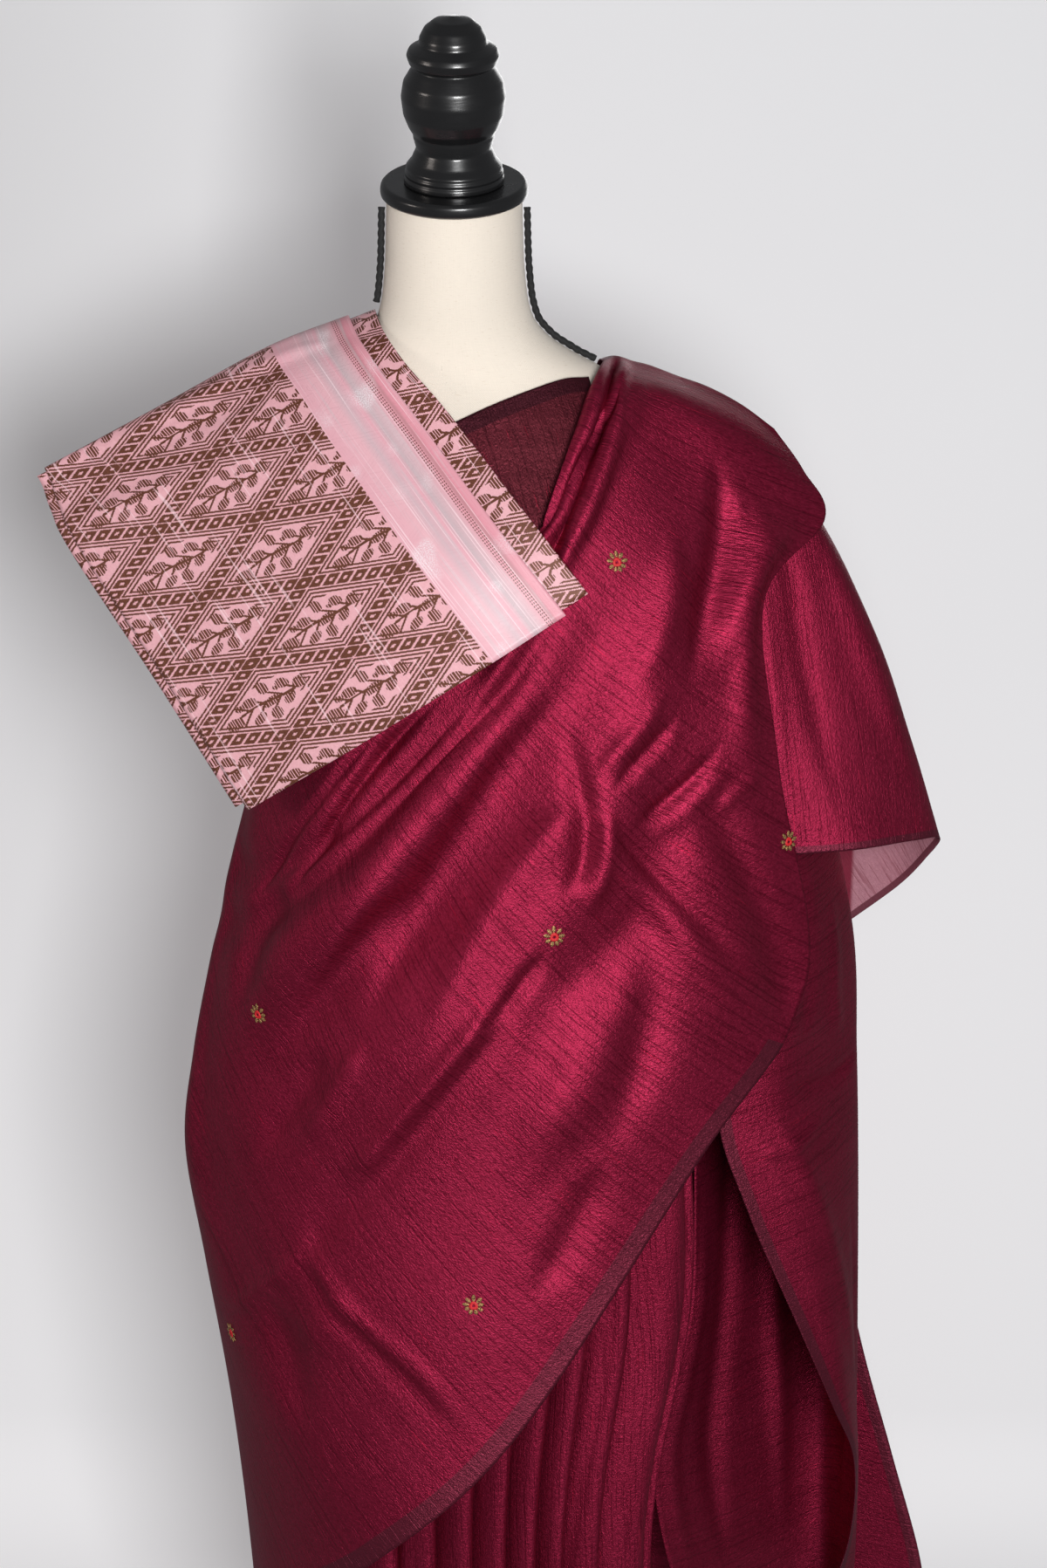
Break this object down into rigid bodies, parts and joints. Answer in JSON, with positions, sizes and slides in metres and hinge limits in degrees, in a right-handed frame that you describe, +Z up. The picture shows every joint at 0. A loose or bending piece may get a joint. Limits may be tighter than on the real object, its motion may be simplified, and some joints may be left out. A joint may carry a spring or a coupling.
{
  "type": "banarasi saree on dress form",
  "caption": "Maroon silk banarasi saree with gold flower buttis, draped on a linen dress form, its pink brocade blouse piece folded over the other shoulder.",
  "frame": {"origin": "middle of the underside of the stand's round foot", "axes": "+Z up to the knob, +X to the viewer's right as one faces the front of the drape, -Y towards the viewer"},
  "size_m": [0.7712, 0.4418, 1.6303],
  "materials": {
    "linen": "matt woven linen",
    "black_wood": "black satin lacquer",
    "black_cord": "twisted black cord",
    "black_steel": "satin black enamel",
    "maroon_silk": "crisp two-tone silk with a low sheen",
    "sheer_silk": "sheer silk edge",
    "pink_brocade": "silk brocade with dark zari lattice"
  },
  "bodies": {
    "root": {"form_torso": "linen", "neck_cap_plate": "black_wood", "finial_knob": "black_wood", "seam_cord_left": "black_cord", "seam_cord_right": "black_cord", "stand_pole": "black_steel", "stand_base": "black_steel", "saree_skirt": "maroon_silk", "saree_front_pleats": "maroon_silk", "saree_front_panel": "maroon_silk", "saree_back_wrap": "maroon_silk", "saree_shoulder_cape": "maroon_silk", "saree_pallu_side": "maroon_silk", "saree_pallu_back": "maroon_silk", "saree_neck_layer": "sheer_silk", "blouse_piece_top": "pink_brocade", "blouse_piece_under": "pink_brocade"}
  },
  "joints": []
}
